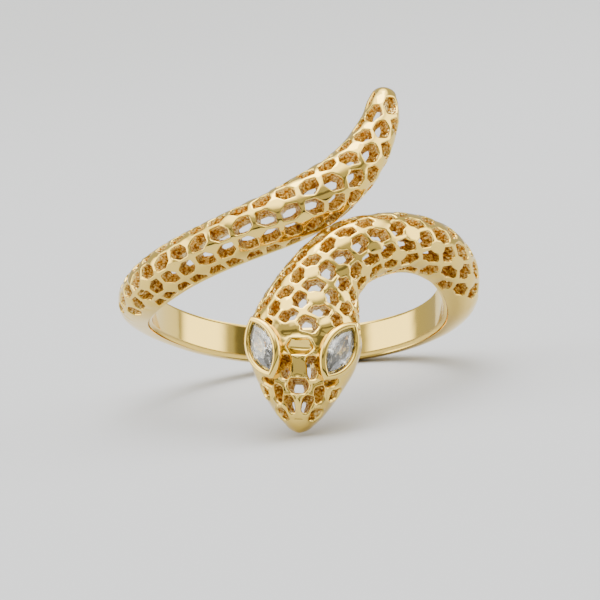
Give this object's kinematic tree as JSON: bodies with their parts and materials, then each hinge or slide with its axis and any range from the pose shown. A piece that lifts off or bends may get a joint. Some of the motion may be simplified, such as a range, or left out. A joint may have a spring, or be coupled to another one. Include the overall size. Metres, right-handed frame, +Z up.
{
  "type": "snake wrap ring",
  "caption": "Open wrap ring cast as a pierced snake: tail and head pass each other over the finger, with marquise stones set as eyes.",
  "frame": {"origin": "centre of the bounding box on the surface that the ring rests on", "axes": "+Z up, +X to the viewer's right with the head in front, +Y away from the viewer; the finger axis leans back by 28.2 degrees and to the right by 7.3"},
  "size_m": [0.0213, 0.0235, 0.0176],
  "materials": {
    "yellow_gold": "polished 14 carat yellow gold casting, as cast and darker inside the openings",
    "diamond": "faceted and polished colourless stone"
  },
  "bodies": {
    "root": {"snake_ring": "yellow_gold", "eye_stone_left": "diamond", "eye_stone_right": "diamond"}
  },
  "joints": []
}
